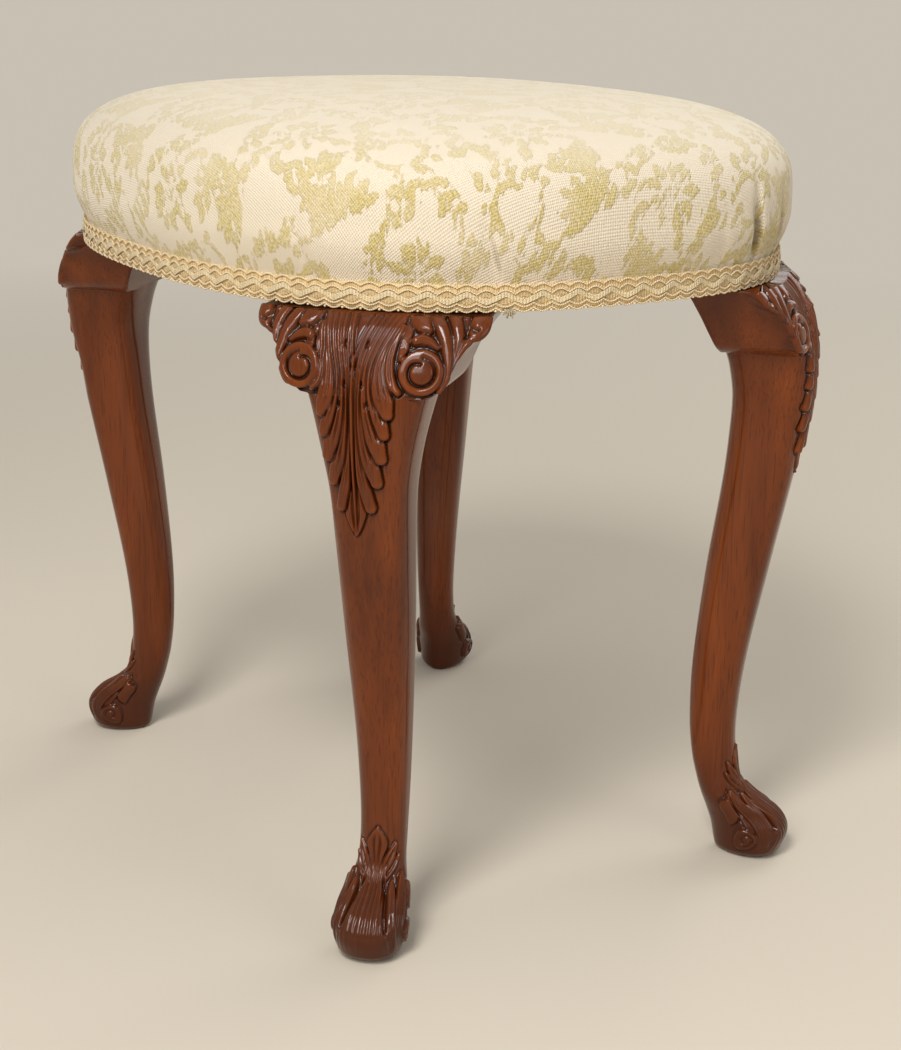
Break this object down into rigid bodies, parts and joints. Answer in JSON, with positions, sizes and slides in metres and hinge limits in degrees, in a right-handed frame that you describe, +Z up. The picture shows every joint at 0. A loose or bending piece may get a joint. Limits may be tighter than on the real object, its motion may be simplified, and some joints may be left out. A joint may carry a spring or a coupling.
{
  "type": "oval dressing stool",
  "caption": "Oval stuffed-over dressing stool on carved cabriole legs with scrolled knee ears, gimp braid and a patterned cut-velvet cover.",
  "frame": {"origin": "on the floor, under the middle of the seat", "axes": "+X along the seat's long axis, -Y to the front, +Z up"},
  "size_m": [0.485, 0.3996, 0.47],
  "materials": {
    "walnut": "polished, darker in the carving",
    "beech": "plain planed",
    "screw_steel": "plain",
    "jute_webbing": "woven",
    "hessian": "coarse weave",
    "stuffing": "matted hair",
    "cut_velvet": "ribbed ground with olive-gold foliage pile",
    "gimp_braid": "corded",
    "black_cambric": "plain weave"
  },
  "bodies": {
    "root": {"leg_front_right": "walnut", "leg_back_right": "walnut", "leg_back_left": "walnut", "leg_front_left": "walnut", "ear_front_right_end": "walnut", "ear_front_right_side": "walnut", "ear_back_right_end": "walnut", "ear_back_right_side": "walnut", "ear_back_left_end": "walnut", "ear_back_left_side": "walnut", "ear_front_left_end": "walnut", "ear_front_left_side": "walnut", "rail_right": "beech", "rail_back": "beech", "rail_left": "beech", "rail_front": "beech", "corner_brace_front_right": "beech", "brace_screw_front_right_a": "screw_steel", "brace_screw_front_right_b": "screw_steel", "corner_brace_back_right": "beech", "brace_screw_back_right_a": "screw_steel", "brace_screw_back_right_b": "screw_steel", "corner_brace_back_left": "beech", "brace_screw_back_left_a": "screw_steel", "brace_screw_back_left_b": "screw_steel", "corner_brace_front_left": "beech", "brace_screw_front_left_a": "screw_steel", "brace_screw_front_left_b": "screw_steel", "webbing_long_1": "jute_webbing", "webbing_long_2": "jute_webbing", "webbing_long_3": "jute_webbing", "webbing_cross_1": "jute_webbing", "webbing_cross_2": "jute_webbing", "webbing_cross_3": "jute_webbing", "webbing_cross_4": "jute_webbing", "hessian": "hessian", "stuffing_pad": "stuffing", "seat_cover": "cut_velvet", "gimp_braid": "gimp_braid", "bottom_cloth": "black_cambric"}
  },
  "joints": []
}
